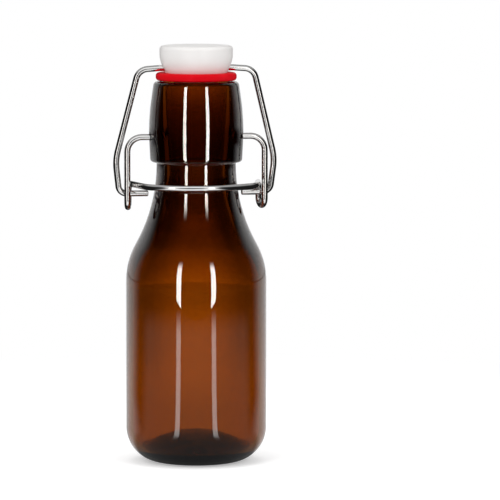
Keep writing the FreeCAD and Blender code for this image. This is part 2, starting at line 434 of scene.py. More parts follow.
def rounded_outline(corners: Sequence[Corner], arc_step: float = 3.0, longest: float = 2.4) -> list[Vector]:
    """Points along an outline whose corners are rounded by arcs.

    Args:
        corners: (radius, height, rounding) of each corner, from the first end to the last.
        arc_step: largest turn between points on an arc, in degrees.
        longest: longest straight run between points.

    Returns:
        Points as (radius, height), ends included.
    """
    points = [Vector(corners[0][:2])]

    def run_to(end: Vector) -> None:
        """Add a straight run from the last point.

        Args:
            end: where the run ends.
        """
        start = points[-1]
        span = (end - start).length
        steps = max(1, math.ceil(span / longest))
        if span > TINY:
            points.extend(start.lerp(end, step / steps) for step in range(1, steps + 1))

    for before, here, after in zip(corners, corners[1:], corners[2:]):
        corner = Vector(here[:2])
        if here[2] <= 0:
            run_to(corner)
            continue
        back = (Vector(before[:2]) - corner).normalized()
        ahead = (Vector(after[:2]) - corner).normalized()
        half_angle = back.angle(ahead) / 2
        run_to(corner + back * (here[2] / math.tan(half_angle)))
        middle = corner + (back + ahead).normalized() * (here[2] / math.sin(half_angle))
        spoke = points[-1] - middle
        turn = math.copysign(math.pi - 2 * half_angle, back.x * ahead.y - back.y * ahead.x) * -1
        steps = max(LEAST_ARC_STEPS, math.ceil(abs(math.degrees(turn)) / arc_step))
        for step in range(1, steps + 1):
            points.append(middle + Matrix.Rotation(turn * step / steps, 2) @ spoke)
    run_to(Vector(corners[-1][:2]))
    return points


def double_curve(low_radius: float, low_height: float, high_radius: float, high_height: float,
                 low_rounding: float) -> list[Corner]:
    """Two corners whose arcs meet, from a wide straight wall up to a narrow one.

    Args:
        low_radius: radius of the wall below.
        low_height: where the first arc starts.
        high_radius: radius of the wall above.
        high_height: where the second arc ends.
        low_rounding: rounding of the first arc.

    Returns:
        The two corners, lower first.
    """
    half_turn = math.atan((low_radius - high_radius) / (high_height - low_height))
    high_rounding = (high_height - low_height) / math.sin(2 * half_turn) - low_rounding
    reach = math.tan(half_turn)
    return [
        (low_radius, low_height + low_rounding * reach, low_rounding),
        (high_radius, high_height - high_rounding * reach, high_rounding),
    ]


def turned_mesh(outline: Sequence[Vector], segments: int, closed: bool = False) -> BMesh:
    """Turn an outline about the axis, with a single vertex where it meets the axis.

    Args:
        outline: (radius, height) points, up the outside first.
        segments: faces round the axis.
        closed: whether the outline joins its own start.

    Returns:
        A closed mesh with its faces outwards, in millimetres.
    """
    mesh = bmesh.new()
    angles = [2 * math.pi * index / segments for index in range(segments)]
    rings = []
    for radius, height in outline:
        if radius < TINY:
            rings.append([mesh.verts.new((0, 0, height))])
            continue
        rings.append([mesh.verts.new((radius * math.cos(a), radius * math.sin(a), height)) for a in angles])
    following = rings[1:] + rings[:1] if closed else rings[1:]
    for lower, upper in zip(rings, following):
        for index in range(segments):
            after = (index + 1) % segments
            loop = [lower[index % len(lower)], lower[after % len(lower)],
                    upper[after % len(upper)], upper[index % len(upper)]]
            mesh.faces.new(dict.fromkeys(loop))
    bmesh.ops.recalc_face_normals(mesh, faces=mesh.faces)
    return mesh


def placed(name: str, data: ID) -> Object:
    """Put data in the scene as an object at the origin.

    Args:
        name: the object's name.
        data: its mesh, camera or light.

    Returns:
        The object.
    """
    made = bpy.data.objects.new(name, data)
    bpy.context.collection.objects.link(made)
    return made


def as_object(name: str, mesh: BMesh, material: Material | None = None) -> Object:
    """Put a millimetre mesh in the scene as a smooth object in metres.

    Args:
        name: the object's name.
        mesh: the mesh, which is freed.
        material: its finish.

    Returns:
        The object, at the origin.
    """
    bmesh.ops.scale(mesh, vec=(MM, MM, MM), verts=mesh.verts)
    data = bpy.data.meshes.new(name)
    mesh.to_mesh(data)
    mesh.free()
    data.shade_smooth()
    if material:
        data.materials.append(material)
    return placed(name, data)


def baked(made: Object) -> None:
    """Turn an object's modifiers into a plain mesh.

    Args:
        made: the object, whose modifiers are removed.
    """
    evaluated = made.evaluated_get(bpy.context.evaluated_depsgraph_get())
    data = bpy.data.meshes.new_from_object(evaluated)
    made.modifiers.clear()
    made.data = data


def crisp(made: Object) -> None:
    """Shade an object smooth, apart from its sharp edges."""
    made.data.shade_smooth()
    made.data.set_sharp_from_angle(angle=math.radians(CREASE))


def carved(made: Object, tools: Sequence[Object]) -> None:
    """Cut tools out of an object and keep its sharp new edges crisp.

    Args:
        made: the object to cut.
        tools: closed objects to take away, which are deleted.
    """
    for tool in tools:
        cut = made.modifiers.new("cut", "BOOLEAN")
        cut.operation = "DIFFERENCE"
        cut.solver = "EXACT"
        cut.object = tool
    baked(made)
    for tool in tools:
        bpy.data.objects.remove(tool)
    crisp(made)


def rod(name: str, radius: float, start: Vector, end: Vector, sides: int = 48) -> Object:
    """Straight round tool between two points, in millimetres.

    Args:
        name: the tool's name.
        radius: its radius.
        start: middle of one end.
        end: middle of the other end.
        sides: faces round it.

    Returns:
        The tool.
    """
    mesh = bmesh.new()
    axis = end - start
    turn = axis.to_track_quat("Z", "Y").to_matrix().to_4x4()
    matrix = Matrix.Translation((start + end) / 2) @ turn
    bmesh.ops.create_cone(mesh, cap_ends=True, segments=sides, radius1=radius, radius2=radius,
                          depth=axis.length, matrix=matrix)
    return as_object(name, mesh)


def ball(name: str, radius: float, middle: Vector, sides: int = 64) -> Object:
    """Ball-shaped tool, in millimetres.

    Args:
        name: the tool's name.
        radius: its radius.
        middle: its centre.
        sides: faces round it.

    Returns:
        The tool.
    """
    mesh = bmesh.new()
    bmesh.ops.create_uvsphere(mesh, u_segments=sides, v_segments=sides // 2, radius=radius,
                              matrix=Matrix.Translation(middle))
    return as_object(name, mesh)


def fit(piece: Object, body: Body, node: str) -> None:
    """Tie a finished piece to its body, in place of a solid.

    Args:
        piece: the finished piece.
        body: the body it moves with.
        node: the solid it stands for.
    """
    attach(piece, body.value)
    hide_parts(node)
    piece.data.calc_loop_triangles()
    log.info("%s: %d triangles, rides on %s", piece.name, len(piece.data.loop_triangles), body.value)


@dataclass
class GlassBottle:
    """The blown bottle, with a dimple on each side of its collar for the lever's pins."""

    body_radius: float = 24.0
    straight_top: float = 62.0
    heel_rounding: float = 11.8
    ring_width: float = 1.2
    ring_rounding: float = 0.8
    push_up: float = 2.0
    push_up_flat: float = 5.5
    push_up_rounding: float = 12.0
    shoulder_length: float = 40.3
    shoulder_rounding: float = 26.0
    neck_radius: float = 13.5
    collar_height: float = 27.5
    collar_root_rounding: float = 0.5
    collar_foot_radius: float = 15.65
    collar_foot_rounding: float = 1.0
    collar_peak_radius: float = 16.4
    collar_peak_below_mouth: float = 13.1
    collar_peak_reach: float = 7.8
    mouth_radius: float = 14.45
    mouth_rounding: float = 1.5
    bore_radius: float = 9.25
    bore_taper_rounding: float = 40.0
    bore_mouth_radius: float = 11.3
    bore_rounding: float = 0.6
    wall: float = 2.3
    inner_shoulder_drop: float = 2.1
    inner_shoulder_rounding: float = 24.0
    inner_neck_drop: float = 5.0
    base_thickness: float = 9.2
    inner_heel_turn: float = 42.0
    floor_rounding: float = 1.0
    crown_radius: float = 11.0
    crown_drop: float = 1.3
    crown_rounding: float = 25.0
    pivot_below_mouth: float = 18.9
    dimple_radius: float = 1.15
    dimple_depth: float = 3.5
    hollow_radius: float = 3.0
    hollow_depth: float = 0.7
    segments: int = 240
    seam_height: float = 0.035
    knurl_count: int = 60
    knurl_depth: float = 0.06
    match_digits: int = 4

    @property
    def neck_top(self) -> float:
        """Height at which the collar's root starts."""
        return self.straight_top + self.shoulder_length

    @property
    def collar_bottom(self) -> float:
        """Height of the collar's underside."""
        return self.neck_top + self.collar_root_rounding

    @property
    def mouth(self) -> float:
        """Height of the mouth."""
        return self.collar_bottom + self.collar_height

    @property
    def pivot(self) -> float:
        """Height of the lever's pins."""
        return self.mouth - self.pivot_below_mouth

    def outside(self) -> list[Vector]:
        """Outline up the outside, from the base's centre to the bore's edge.

        Returns:
            (radius, height) points.
        """
        peak = self.mouth - self.collar_peak_below_mouth
        lower_slope = math.atan2(self.collar_peak_radius - self.collar_foot_radius, peak - self.collar_bottom)
        upper_slope = math.atan2(self.collar_peak_radius - self.mouth_radius, self.collar_peak_below_mouth)
        peak_rounding = self.collar_peak_reach / math.tan((lower_slope + upper_slope) / 2)
        ring_inner = self.body_radius - self.heel_rounding - self.ring_width
        return rounded_outline([
            (0, self.push_up, 0),
            (self.push_up_flat, self.push_up, self.push_up_rounding),
            (ring_inner, 0, self.ring_rounding),
            (self.body_radius, 0, self.heel_rounding),
            *double_curve(self.body_radius, self.straight_top, self.neck_radius, self.neck_top,
                          self.shoulder_rounding),
            (self.neck_radius, self.collar_bottom, self.collar_root_rounding),
            (self.collar_foot_radius, self.collar_bottom, self.collar_foot_rounding),
            (self.collar_peak_radius, peak, peak_rounding),
            (self.mouth_radius, self.mouth, self.mouth_rounding),
            (self.bore_mouth_radius + 2 * self.bore_rounding, self.mouth, 0),
        ])

    def inside(self) -> list[Vector]:
        """Outline down the inside, from the bore's edge to the floor's centre.

        Returns:
            (radius, height) points.
        """
        inner = self.body_radius - self.wall
        floor = self.push_up + self.base_thickness
        heel_rounding = self.heel_rounding - self.wall
        heel_turn = math.radians(self.inner_heel_turn)
        heel_reach = heel_rounding * math.tan(heel_turn / 2)
        heel_corner = Vector((inner, self.heel_rounding - heel_reach))
        heel_slope = Vector((math.sin(heel_turn), math.cos(heel_turn)))
        heel_foot = heel_corner - (heel_reach + self.floor_rounding) * heel_slope
        shoulder = double_curve(inner, self.straight_top - self.inner_shoulder_drop, self.bore_radius,
                                self.neck_top - self.inner_neck_drop, self.inner_shoulder_rounding)
        return rounded_outline([
            (self.bore_mouth_radius + 2 * self.bore_rounding, self.mouth, 0),
            (self.bore_mouth_radius, self.mouth, self.bore_rounding),
            (self.bore_radius, self.collar_bottom, self.bore_taper_rounding),
            *reversed(shoulder),
            (*heel_corner, heel_rounding),
            (*heel_foot, self.floor_rounding),
            (self.crown_radius, floor - self.crown_drop, self.crown_rounding),
            (0, floor, 0),
        ])

    def radius_at(self, height: float) -> float:
        """Outside radius at a height above the heel.

        Args:
            height: height above the base.

        Returns:
            The radius there.
        """
        wall = self.outside()
        low, high = next(pair for pair in zip(wall, wall[1:]) if pair[0].y <= height < pair[1].y)
        return low.lerp(high, (height - low.y) / (high.y - low.y)).x

    def mark_mould(self, mesh: BMesh) -> None:
        """Raise the mould's seam lines and cut the knurl in the standing ring.

        Args:
            mesh: the turned bottle, in millimetres.
        """
        outer = {round(point.x, self.match_digits) for point in self.outside() if point.y < self.neck_top}
        half_turn = self.segments // 2
        pitch = self.segments // self.knurl_count
        ring_middle = self.body_radius - self.heel_rounding - self.ring_width / 2
        for vertex in mesh.verts:
            radius = math.hypot(vertex.co.x, vertex.co.y)
            index = round(math.atan2(vertex.co.y, vertex.co.x) / (2 * math.pi) * self.segments)
            above_heel = self.heel_rounding / 2 < vertex.co.z < self.neck_top
            on_outside = round(radius, self.match_digits) in outer
            if index % half_turn == 0 and above_heel and on_outside:
                vertex.co.x += math.copysign(self.seam_height, vertex.co.x)
            if abs(radius - ring_middle) < 2 * self.ring_width and vertex.co.z < self.knurl_depth / 2:
                tooth = abs(index % pitch - pitch / 2) / (pitch / 2)
                vertex.co.z += self.knurl_depth * (1 - tooth)

    def dimple_tools(self) -> list[Object]:
        """Holes for the pins and the shallow hollows round them.

        Returns:
            Four tools to cut away.
        """
        wall = self.radius_at(self.pivot)
        tools = []
        for side in (-1, 1):
            bottom = Vector((side * (wall - self.dimple_depth), 0, self.pivot))
            outer = Vector((side * (wall + self.dimple_depth), 0, self.pivot))
            tools.append(rod("pin_hole", self.dimple_radius, bottom, outer))
            middle = Vector((side * (wall - self.hollow_depth + self.hollow_radius), 0, self.pivot))
            tools.append(ball("hollow", self.hollow_radius, middle))
        return tools

    def build(self) -> None:
        """Turn, mark and cut the bottle."""
        mesh = turned_mesh(self.outside() + self.inside()[1:], self.segments)
        self.mark_mould(mesh)
        bottle = as_object("glass_bottle", mesh, AmberGlass().material())
        carved(bottle, self.dimple_tools())
        fit(bottle, Body.BOTTLE, "bottle")


class WireBench:
    """Geometry Nodes tree that bends round wire through the corners of a path."""

    INPUTS: ClassVar[dict[str, tuple[str, int | None]]] = {
        "Wire radius": ("NodeSocketFloat", None),
        "Bend steps": ("NodeSocketInt", 12),
        "Sides": ("NodeSocketInt", 28),
        "End taper": ("NodeSocketFloat", None),
        "Finish": ("NodeSocketMaterial", None),
    }

    def __init__(self, finish: Material) -> None:
        """Build the tree once for both wires.

        Args:
            finish: the wires' material.
        """
        self.finish = finish
        self.tree = bpy.data.node_groups.new("bent_wire", "GeometryNodeTree")
        face = self.tree.interface
        face.new_socket("Path", in_out="INPUT", socket_type="NodeSocketGeometry")
        self.sockets = {}
        for name, (kind, default) in self.INPUTS.items():
            socket = face.new_socket(name, in_out="INPUT", socket_type=kind)
            if default is not None:
                socket.default_value = default
            self.sockets[name] = socket.identifier
        face.new_socket("Wire", in_out="OUTPUT", socket_type="NodeSocketGeometry")
        self._lay_nodes(Bench(self.tree))

    def _lay_nodes(self, bench: Bench) -> None:
        """Lay the nodes from the path to the dressed wire.

        Args:
            bench: the tree's bench.
        """
        given = bench.node("NodeGroupInput").outputs
        bend = bench.node("GeometryNodeInputNamedAttribute", {"data_type": "FLOAT"}, {"Name": "bend"})
        path = bench.node("GeometryNodeMeshToCurve", {}, {"Mesh": given["Path"]})
        bent = bench.node("GeometryNodeFilletCurve", {"mode": "POLY"}, {
            "Curve": path.outputs[0], "Count": given["Bend steps"], "Radius": bend.outputs["Attribute"]})
        length = bench.node("GeometryNodeSplineParameter").outputs["Length"]
        measured = bench.node("GeometryNodeStoreNamedAttribute", {"data_type": "FLOAT", "domain": "POINT"}, {
            "Geometry": bent.outputs[0], "Name": "wire_along", "Value": length})
        ring = bench.node("GeometryNodeCurvePrimitiveCircle", {"mode": "RADIUS"}, {
            "Resolution": given["Sides"], "Radius": given["Wire radius"]})
        spot = bench.node("GeometryNodeInputPosition").outputs[0]
        share = bench.vector("NORMALIZE", spot)
        section = bench.node("GeometryNodeStoreNamedAttribute",
                             {"data_type": "FLOAT_VECTOR", "domain": "POINT"},
                             {"Geometry": ring.outputs[0], "Name": "wire_section", "Value": share})
        tip = bench.value("GeometryNodeCurveEndpointSelection", {}, {"Start Size": 1, "End Size": 1})
        thickness = 1.0 - tip * Value(bench, given["End taper"])
        skin = bench.node("GeometryNodeCurveToMesh", {}, {
            "Curve": measured.outputs[0], "Profile Curve": section.outputs[0],
            "Scale": thickness, "Fill Caps": True})
        smooth = bench.node("GeometryNodeSetShadeSmooth", {}, {"Geometry": skin.outputs[0]})
        real = bench.node("GeometryNodeRealizeInstances", {}, {"Geometry": smooth.outputs[0]})
        dressed = bench.node("GeometryNodeSetMaterial", {}, {
            "Geometry": real.outputs[0], "Material": given["Finish"]})
        bench.node("NodeGroupOutput", {}, {"Wire": dressed.outputs[0]})

    def bend(self, name: str, corners: Sequence[Bend], radius: float, chamfer: float) -> Object:
        """Bend one wire.

        Args:
            name: the piece's name.
            corners: (point, bend radius) corners in millimetres.
            radius: the wire's radius.
            chamfer: chamfer on the wire's ends.

        Returns:
            The wire as a plain mesh.
        """
        points = [point for point, _ in corners]
        bends = [bend for _, bend in corners]
        tips = [points[0].lerp(points[1], chamfer / (points[1] - points[0]).length),
                points[-1].lerp(points[-2], chamfer / (points[-2] - points[-1]).length)]
        points = [points[0], tips[0], *points[1:-1], tips[1], points[-1]]
        bends = [0.0, 0.0, *bends[1:-1], 0.0, 0.0]
        data = bpy.data.meshes.new(name)
        data.from_pydata([point * MM for point in points],
                         [(index, index + 1) for index in range(len(points) - 1)], [])
        stored = data.attributes.new("bend", "FLOAT", "POINT")
        stored.data.foreach_set("value", [bend * MM for bend in bends])
        wire = placed(name, data)
        former = wire.modifiers.new("bent_wire", "NODES")
        former.node_group = self.tree
        former[self.sockets["Wire radius"]] = radius * MM
        former[self.sockets["End taper"]] = chamfer / radius
        former[self.sockets["Finish"]] = self.finish
        baked(wire)
        crisp(wire)
        return wire


def mirrored(half: Sequence[Bend], middle: Sequence[Bend] = ()) -> list[Bend]:
    """All corners of a symmetric wire, from those of its +X half and those on the plane of symmetry."""
    other = [(Vector((-point.x, point.y, point.z)), bend) for point, bend in half]
    return [*half, *middle, *reversed(other)]


@dataclass
class LeverWire:
    """The lower wire: pins in the collar's dimples, legs, eyes and the bow on the neck."""

    bottle: GlassBottle
    radius: float = 1.05
    chamfer: float = 0.25
    pin_end_gap: float = 0.3
    leg_reach: float = 23.8
    leg_top_bend: float = 5.0
    eye_bend: float = 2.6
    eye_strand_gap: float = 0.25
    eye_back_gap: float = 0.15
    eye_top_gap: float = 1.2
    eye_bottom_gap: float = 2.5
    bow_neck_gap: float = 3.4
    bow_lip_gap: float = 0.35
    bow_tilt: float = 0.5
    bow_half_angle: float = 36.0
    bow_front_bend: float = 27.0
    bow_corner_bend: float = 8.5
    bow_rounds: int = 6

    def __post_init__(self) -> None:
        """Work out the values that follow from the sizes."""
        self.eye_turn = math.asin((2 * self.radius + self.eye_strand_gap) / (2 * self.eye_bend)) / 2
        self.slope = math.tan(math.radians(self.bow_tilt))
        self.dip = math.atan(self.slope * math.cos(self.eye_turn))
        self.eye_top_depth = self.eye_bend * math.cos(self.eye_turn) * (1 - math.sin(self.dip))
        self.drop, self.depth = self.bow_place()
        self.eye_top = self.bottle.pivot - self.drop + (self.eye_top_depth + self.depth) * self.slope

    def bow_place(self) -> tuple[float, float]:
        """How far the bow's front lies below the pins and before the axis.

        Returns:
            The drop and the depth, so that the bow stands off the neck and clears the lip as it swings.
        """
        glass = self.bottle
        lip_depth = glass.mouth_radius - glass.mouth_rounding
        lip_rise = glass.pivot_below_mouth - glass.mouth_rounding
        swing = math.hypot(lip_depth, lip_rise) + glass.mouth_rounding + self.bow_lip_gap + self.radius
        drop = lip_rise
        for _ in range(self.bow_rounds):
            depth = glass.radius_at(glass.pivot - drop) + self.bow_neck_gap + self.radius
            drop = math.sqrt(swing ** 2 - depth ** 2)
        return drop, depth

    def foot_place(self) -> tuple[float, float]:
        """Depth and height of the line through the bail's feet, inside the eyes.

        Returns:
            The depth behind the axis and the height.
        """
        apex = self.eye_top + self.eye_bend * (1 - math.cos(self.dip))
        depth = 2 * self.eye_bend * math.cos(self.eye_turn) - 2 * self.radius - self.eye_back_gap
        return depth, apex - 2 * self.radius - self.eye_top_gap

    def corners(self) -> list[Bend]:
        """Corners from one pin's end, round its eye and along the bow, to the other pin's end.

        Returns:
            (point, bend) corners.
        """
        side = math.sin(self.eye_turn)
        ahead = math.cos(self.eye_turn)
        level = math.cos(self.dip)
        pivot = self.bottle.pivot
        eye_top_x = self.leg_reach - self.eye_bend * side * (3 + math.sin(self.dip))
        origin = Vector((0, self.eye_top_depth, self.eye_top))
        forward = Vector((0, -1, -self.slope)).normalized()
        half_angle = math.radians(self.bow_half_angle)
        front = (self.eye_top_depth + self.depth) / -forward.y
        vertex = front + self.bow_front_bend * (1 / math.cos(half_angle) - 1)
        strand_slope = math.tan(math.acos(side * level))
        corner_x = (eye_top_x * strand_slope - vertex) / (strand_slope - math.tan(half_angle))
        corner = vertex - corner_x * math.tan(half_angle)
        strand = Vector((-side * level, -ahead * level, -math.sin(self.dip)))
        turn_reach = self.eye_bend * math.tan((math.pi / 2 + self.dip) / 2)
        back_top = Vector((eye_top_x, self.eye_top_depth, self.eye_top)) - strand * turn_reach
        eye_bottom = self.foot_place()[1] - self.eye_bottom_gap - 2 * self.radius
        pin_end = self.bottle.radius_at(pivot) - self.bottle.dimple_depth + self.pin_end_gap
        half = [
            (Vector((pin_end, 0, pivot)), 0.0),
            (Vector((self.leg_reach, 0, pivot)), self.leg_top_bend),
            (Vector((self.leg_reach, 0, eye_bottom)), self.eye_bend),
            (Vector((self.leg_reach - 2 * self.eye_bend * side, 2 * self.eye_bend * ahead, eye_bottom)),
             self.eye_bend),
            (back_top, self.eye_bend),
            (origin + Vector((corner_x, 0, 0)) + forward * corner, self.bow_corner_bend),
        ]
        return mirrored(half, [(origin + forward * vertex, self.bow_front_bend)])

    def build(self, bench: WireBench) -> None:
        """Bend the lever and tie it to its body."""
        wire = bench.bend("lever_bow_wire", self.corners(), self.radius, self.chamfer)
        fit(wire, Body.LEVER, "lever_wire")


@dataclass
class Stopper:
    """White head with a cross hole, its stem, and the flange that keeps the rubber ring on."""

    bottle: GlassBottle
    ring_radius: float = 13.8
    ring_thickness: float = 2.7
    ring_rounding: float = 1.1
    ring_lift: float = 0.25
    ring_fit: float = 0.05
    stem_radius: float = 6.6
    flange_radius: float = 7.7
    flange_thickness: float = 2.2
    flange_rounding: float = 0.6
    foot_radius: float = 10.6
    head_radius: float = 12.5
    bulge_height: float = 4.6
    bulge_rounding: float = 9.0
    head_height: float = 9.2
    edge_rounding: float = 1.3
    hole_floor: float = 0.45
    hole_radius: float = 1.13
    segments: int = 160
    longest_run: float = 1.2
    ring_arc_step: float = 6.0

    @property
    def ring_bottom(self) -> float:
        """Height of the rubber ring's underside."""
        return self.bottle.mouth + self.ring_lift

    @property
    def head_bottom(self) -> float:
        """Height of the head's underside, on the rubber ring."""
        return self.ring_bottom + self.ring_thickness

    @property
    def hole_height(self) -> float:
        """Height of the cross hole's axis."""
        return self.head_bottom + self.hole_floor + self.hole_radius

    def build_head(self) -> None:
        """Turn the white head and bore its cross hole."""
        head_top = self.head_bottom + self.head_height
        flange_bottom = self.ring_bottom - self.flange_thickness
        outline = rounded_outline([
            (0, flange_bottom, 0),
            (self.flange_radius, flange_bottom, self.flange_rounding),
            (self.flange_radius, self.ring_bottom, self.flange_rounding),
            (self.stem_radius, self.ring_bottom, 0),
            (self.stem_radius, self.head_bottom, 0),
            (self.foot_radius, self.head_bottom, 0),
            (self.head_radius, self.head_bottom + self.bulge_height, self.bulge_rounding),
            (self.head_radius, head_top, self.edge_rounding),
            (0, head_top, 0),
        ], longest=self.longest_run)
        head = as_object("stopper_head", turned_mesh(outline, self.segments), MouldedWhite().material())
        reach = Vector((2 * self.head_radius, 0, 0))
        middle = Vector((0, 0, self.hole_height))
        carved(head, [rod("cross_hole", self.hole_radius, middle - reach, middle + reach)])
        fit(head, Body.STOPPER, "stopper")

    def build_ring(self) -> None:
        """Turn the red rubber ring."""
        inner = self.stem_radius + self.ring_fit
        outline = rounded_outline([
            (inner, self.ring_bottom, 0),
            (self.ring_radius, self.ring_bottom, self.ring_rounding),
            (self.ring_radius, self.head_bottom, self.ring_rounding),
            (inner, self.head_bottom, 0),
        ], longest=self.longest_run, arc_step=self.ring_arc_step)
        mesh = turned_mesh(outline, self.segments, closed=True)
        ring = as_object("rubber_ring", mesh, SealRubber().material())
        crisp(ring)
        fit(ring, Body.STOPPER, "gasket")


@dataclass
class BailWire:
    """The upper wire: through the stopper, down both sides and into the lever's eyes."""

    lever: LeverWire
    stopper: Stopper
    foot_inner_reach: float = 16.2
    foot_bend: float = 2.9
    passing_gap: float = 0.25
    elbow_outset: float = 1.4
    elbow_height: float = 11.6
    elbow_bend: float = 18.0
    shoulder_reach: float = 19.9
    shoulder_sag: float = 0.5
    shoulder_bend: float = 4.2
    neck_gap: float = 0.3
    neck_bend: float = 4.0

    def corners(self) -> list[Bend]:
        """Corners in the plane of the feet and the cross hole.

        Returns:
            (point, bend) corners.
        """
        foot = Vector((0, *self.lever.foot_place()))
        hole = Vector((0, 0, self.stopper.hole_height))
        length = (hole - foot).length
        upward = (hole - foot).normalized()
        foot_reach = self.lever.leg_reach + 2 * self.lever.radius + self.passing_gap
        half = [
            (self.foot_inner_reach, 0, 0.0),
            (foot_reach, 0, self.foot_bend),
            (foot_reach + self.elbow_outset, self.elbow_height, self.elbow_bend),
            (self.shoulder_reach, length - self.shoulder_sag, self.shoulder_bend),
            (self.stopper.head_radius + self.neck_gap, length, self.neck_bend),
        ]
        return mirrored([(foot + Vector((reach, 0, 0)) + upward * rise, bend) for reach, rise, bend in half])

    def build(self, bench: WireBench) -> None:
        """Bend the bail and tie it to its body."""
        wire = bench.bend("bail_hanger_wire", self.corners(), self.lever.radius, self.lever.chamfer)
        fit(wire, Body.BAIL, "bail_wire")


def toward(azimuth: float, elevation: float = 0.0) -> Vector:
    """Direction from the object at an azimuth and elevation."""
    around, up = math.radians(azimuth), math.radians(elevation)
    return Vector((math.sin(around) * math.cos(up), -math.cos(around) * math.cos(up), math.sin(up)))


def upright(middle: Vector, across: Vector, low: float, high: float) -> list[Vector]:
    """Corners of an upright sheet, from its middle on the ground, half its width and its two heights."""
    ends = ((-1, low), (1, low), (1, high), (-1, high))
    return [middle + across * side + Vector((0, 0, height)) for side, height in ends]


def lay_sheet(name: str, corners: Sequence[Vector], material: Material,
              unseen_by: Sequence[str] = ()) -> None:
    """Stage a flat sheet.

    Args:
        name: the sheet's name.
        corners: its corners in order, in metres.
        material: its finish.
        unseen_by: kinds of rays that pass it by.
    """
    data = bpy.data.meshes.new(name)
    data.from_pydata(corners, [], [range(len(corners))])
    data.materials.append(material)
    sheet = placed(name, data)
    for kind in unseen_by:
        setattr(sheet, f"visible_{kind}", False)


@dataclass(frozen=True)
class View:
    """The camera, at the photograph's viewing angle."""

    azimuth: float = -10.0
    elevation: float = 5.6
    distance: float = 1.5
    aim_height: float = 0.0725
    angle: float = 6.52
    shift: float = 0.1076
    sensor_width: float = 36.0
    reach: float = 20.0

    @property
    def ahead(self) -> Vector:
        """Level direction from the object towards the camera."""
        return toward(self.azimuth)

    @property
    def aside(self) -> Vector:
        """Level direction across the view."""
        return Vector((-self.ahead.y, self.ahead.x, 0))

    def build(self) -> None:
        """Place the camera."""
        data = bpy.data.cameras.new("camera")
        data.sensor_width = self.sensor_width
        data.angle = math.radians(self.angle)
        data.shift_x = self.shift
        data.clip_end = self.reach
        camera = placed("camera", data)
        heading = toward(self.azimuth, self.elevation)
        camera.location = Vector((0, 0, self.aim_height)) + heading * self.distance
        camera.rotation_euler = heading.to_track_quat("Z", "Y").to_euler()
        bpy.context.scene.camera = camera


@dataclass(frozen=True)
class Surround:
    """White to the camera, with its own level for reflections, for glass and for matt surfaces.

    A level's span gives two levels. Other spans are shares of a direction: to the rear, aside or upwards.
    """

    view: View
    card: Span = (0.40, 0.88)
    card_widening: float = 0.2
    card_level: Span = (0.6, 0.92)
    card_foot: Span = (-0.085, -0.04)
    front: Span = (-0.5, -0.25)
    front_side: Span = (0.46, 0.66)
    front_middle: Span = (-0.965, -0.88)
    front_level: Span = (0.95, 0.08)
    slit: Span = (0.95, 0.985)
    slit_level: float = 0.8
    ceiling: Span = (0.35, 0.75)
    ceiling_level: float = 0.35
    dark: float = 0.012
    horizon: Span = (-0.02, 0.04)
    seen_through: float = 0.68
    fill: float = 0.55

    def mirrored(self, bench: Bench, heading: NodeSocket, singular: Value, nearby: Value) -> Value:
        """Brightness that a reflection meets in a direction.

        Args:
            bench: the tree's bench.
            heading: the direction from the object.
            singular: 1 for the sharp reflections of glass, 0 for those of satin surfaces.
            nearby: how far the card behind is widened, where 0 is not at all.

        Returns:
            The level. Glass meets a white card behind and black sides. Satin surfaces meet a light front with
            a dim middle, a slit behind, a grey card above and black sides.
        """
        rear = bench.along(heading, -self.view.ahead)
        beside = bench.along(heading, self.view.aside).size()
        card = (rear + nearby * self.card_widening).between(*self.card)
        glass = card * nearby.clamped().spread(*self.card_level)
        middle = 1.0 - rear.between(*self.front_middle)
        front = (1.0 - rear.between(*self.front)) * (1.0 - beside.between(*self.front_side))
        slit = rear.between(*self.slit) * self.slit_level
        ceiling = bench.part(heading, "Z").between(*self.ceiling) * self.ceiling_level
        satin = (front * middle.spread(*self.front_level)).highest(slit).highest(ceiling) + self.dark
        return singular * glass + (1.0 - singular) * satin

    def build(self) -> None:
        """Set the world."""
        world = bpy.data.worlds.new("surround")
        world.use_nodes = True
        world.node_tree.nodes.clear()
        bench = Bench(world.node_tree)
        camera, glossy, through, singular = bench.rays("Camera", "Glossy", "Transmission", "Singular")
        where = bench.node("ShaderNodeTexCoord").outputs["Generated"]
        height = bench.part(where, "Z")
        matt = (1.0 - camera) * (1.0 - glossy) * (1.0 - through)
        reflected = self.mirrored(bench, where, singular, height.between(*self.card_foot))
        window = height.between(*self.horizon).spread(1.0, self.seen_through)
        level = camera + through * window + glossy * (1.0 - through) * reflected + matt * self.fill
        light = bench.node("ShaderNodeBackground", {}, {"Color": (1.0, 1.0, 1.0, 1.0), "Strength": level})
        bench.node("ShaderNodeOutputWorld", {}, {"Surface": light.outputs[0]})
        bpy.context.scene.world = world


